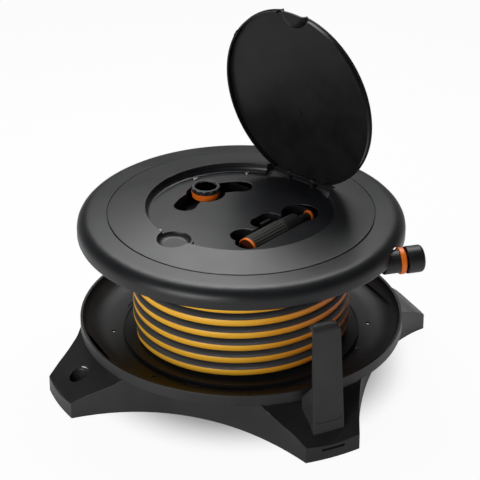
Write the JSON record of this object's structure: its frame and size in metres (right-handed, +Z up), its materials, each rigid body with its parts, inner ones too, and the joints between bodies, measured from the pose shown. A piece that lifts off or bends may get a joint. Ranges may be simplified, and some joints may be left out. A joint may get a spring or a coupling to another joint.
{
  "type": "garden hose reel",
  "caption": "Low floor-standing hose reel: scalloped four-legged tray, turning drum of striped hose under a wide disc with a hinged round lid over recessed nozzle and tap fittings.",
  "frame": {"origin": "on the floor, on the vertical axis that the drum turns about", "axes": "+Z up along the drum's axis; -Y along the leg that carries the upright post; -X along the leg with the round hole; +Y along the leg with the water inlet"},
  "size_m": [0.494, 0.517, 0.4406],
  "materials": {
    "base_plastic": "fine matt",
    "post_plastic": "fine matt",
    "disc_plastic": "satin matt",
    "cover_plastic": "satin matt",
    "recess_plastic": "satin matt",
    "lid_plastic": "satin",
    "inner_plastic": "matt",
    "coupling_plastic": "satin",
    "nut_plastic": "satin",
    "seal_rubber": "matt",
    "washer_plastic": "smooth",
    "steel": "satin",
    "hose_skin": "soft satin",
    "hose_inner": "matt",
    "orange_plastic": "gloss",
    "jet_plastic": "gloss",
    "sleeve_rubber": "matt ribbed"
  },
  "bodies": {
    "base": {"base_tray": "base_plastic", "guide_post": "post_plastic", "spindle": "inner_plastic", "spindle_screws": "steel", "inlet_pipe": "inner_plastic", "inlet_nipple": "coupling_plastic", "inlet_seal": "seal_rubber", "thrust_washer": "washer_plastic", "retaining_nut": "inner_plastic", "swivel_seals": "seal_rubber"},
    "reel": {"drum_core": "inner_plastic", "lower_flange": "inner_plastic", "upper_flange": "inner_plastic", "flange_step": "inner_plastic", "rim_ring": "disc_plastic", "top_cover": "cover_plastic", "cover_wall": "cover_plastic", "dish_shell": "cover_plastic", "recess_floor": "recess_plastic", "recess_wall": "recess_plastic", "dish_cup": "recess_plastic", "tap_tub": "recess_plastic", "nozzle_tub": "recess_plastic", "nozzle_cradle": "recess_plastic", "recess_screws": "steel", "hinge_pin": "steel", "hose_core": "hose_inner", "hose_winding": "hose_skin", "hose_clip": "inner_plastic", "swivel_elbow": "inner_plastic", "feed_hose": "hose_inner", "hose_clamps": "steel", "coupling_body": "coupling_plastic", "coupling_ring": "orange_plastic", "tap_spigot": "coupling_plastic", "tap_ring": "orange_plastic", "tap_washer": "seal_rubber", "nozzle_stem": "coupling_plastic", "nozzle_front_ring": "orange_plastic", "nozzle_rear_ring": "orange_plastic", "nozzle_jet": "jet_plastic"},
    "lid": {"lid": "lid_plastic"},
    "collar": {"coupling_collar": "coupling_plastic"},
    "nut": {"tap_nut": "nut_plastic"},
    "sleeve": {"nozzle_sleeve": "sleeve_rubber"}
  },
  "joints": [
    {"name": "reel_spin", "type": "hinge", "parent": "base", "child": "reel", "pos_m": [0, 0, 0.1], "axis": [0, 0, 1], "continuous": true},
    {"name": "lid_hinge", "type": "hinge", "parent": "reel", "child": "lid", "pos_m": [0.10256, 0.03978, 0.2152], "axis": [-0.3616, 0.9323, 0], "range_deg": [-85.6, 12]},
    {"name": "collar_slide", "type": "slide", "parent": "reel", "child": "collar", "axis": [0.9823, -0.1874, 0], "range_m": [-0.002, 0], "stiffness_N_per_m": 600, "springref_m": 0.002},
    {"name": "tap_nut_turn", "type": "hinge", "parent": "reel", "child": "nut", "pos_m": [-0.01435, 0.07056, 0.208], "axis": [0, 0, 1], "continuous": true},
    {"name": "sleeve_twist", "type": "hinge", "parent": "reel", "child": "sleeve", "pos_m": [-0.0295, -0.0746, 0.1994], "axis": [0.9239, 0.3827, 0], "range_deg": [-90, 90]}
  ]
}
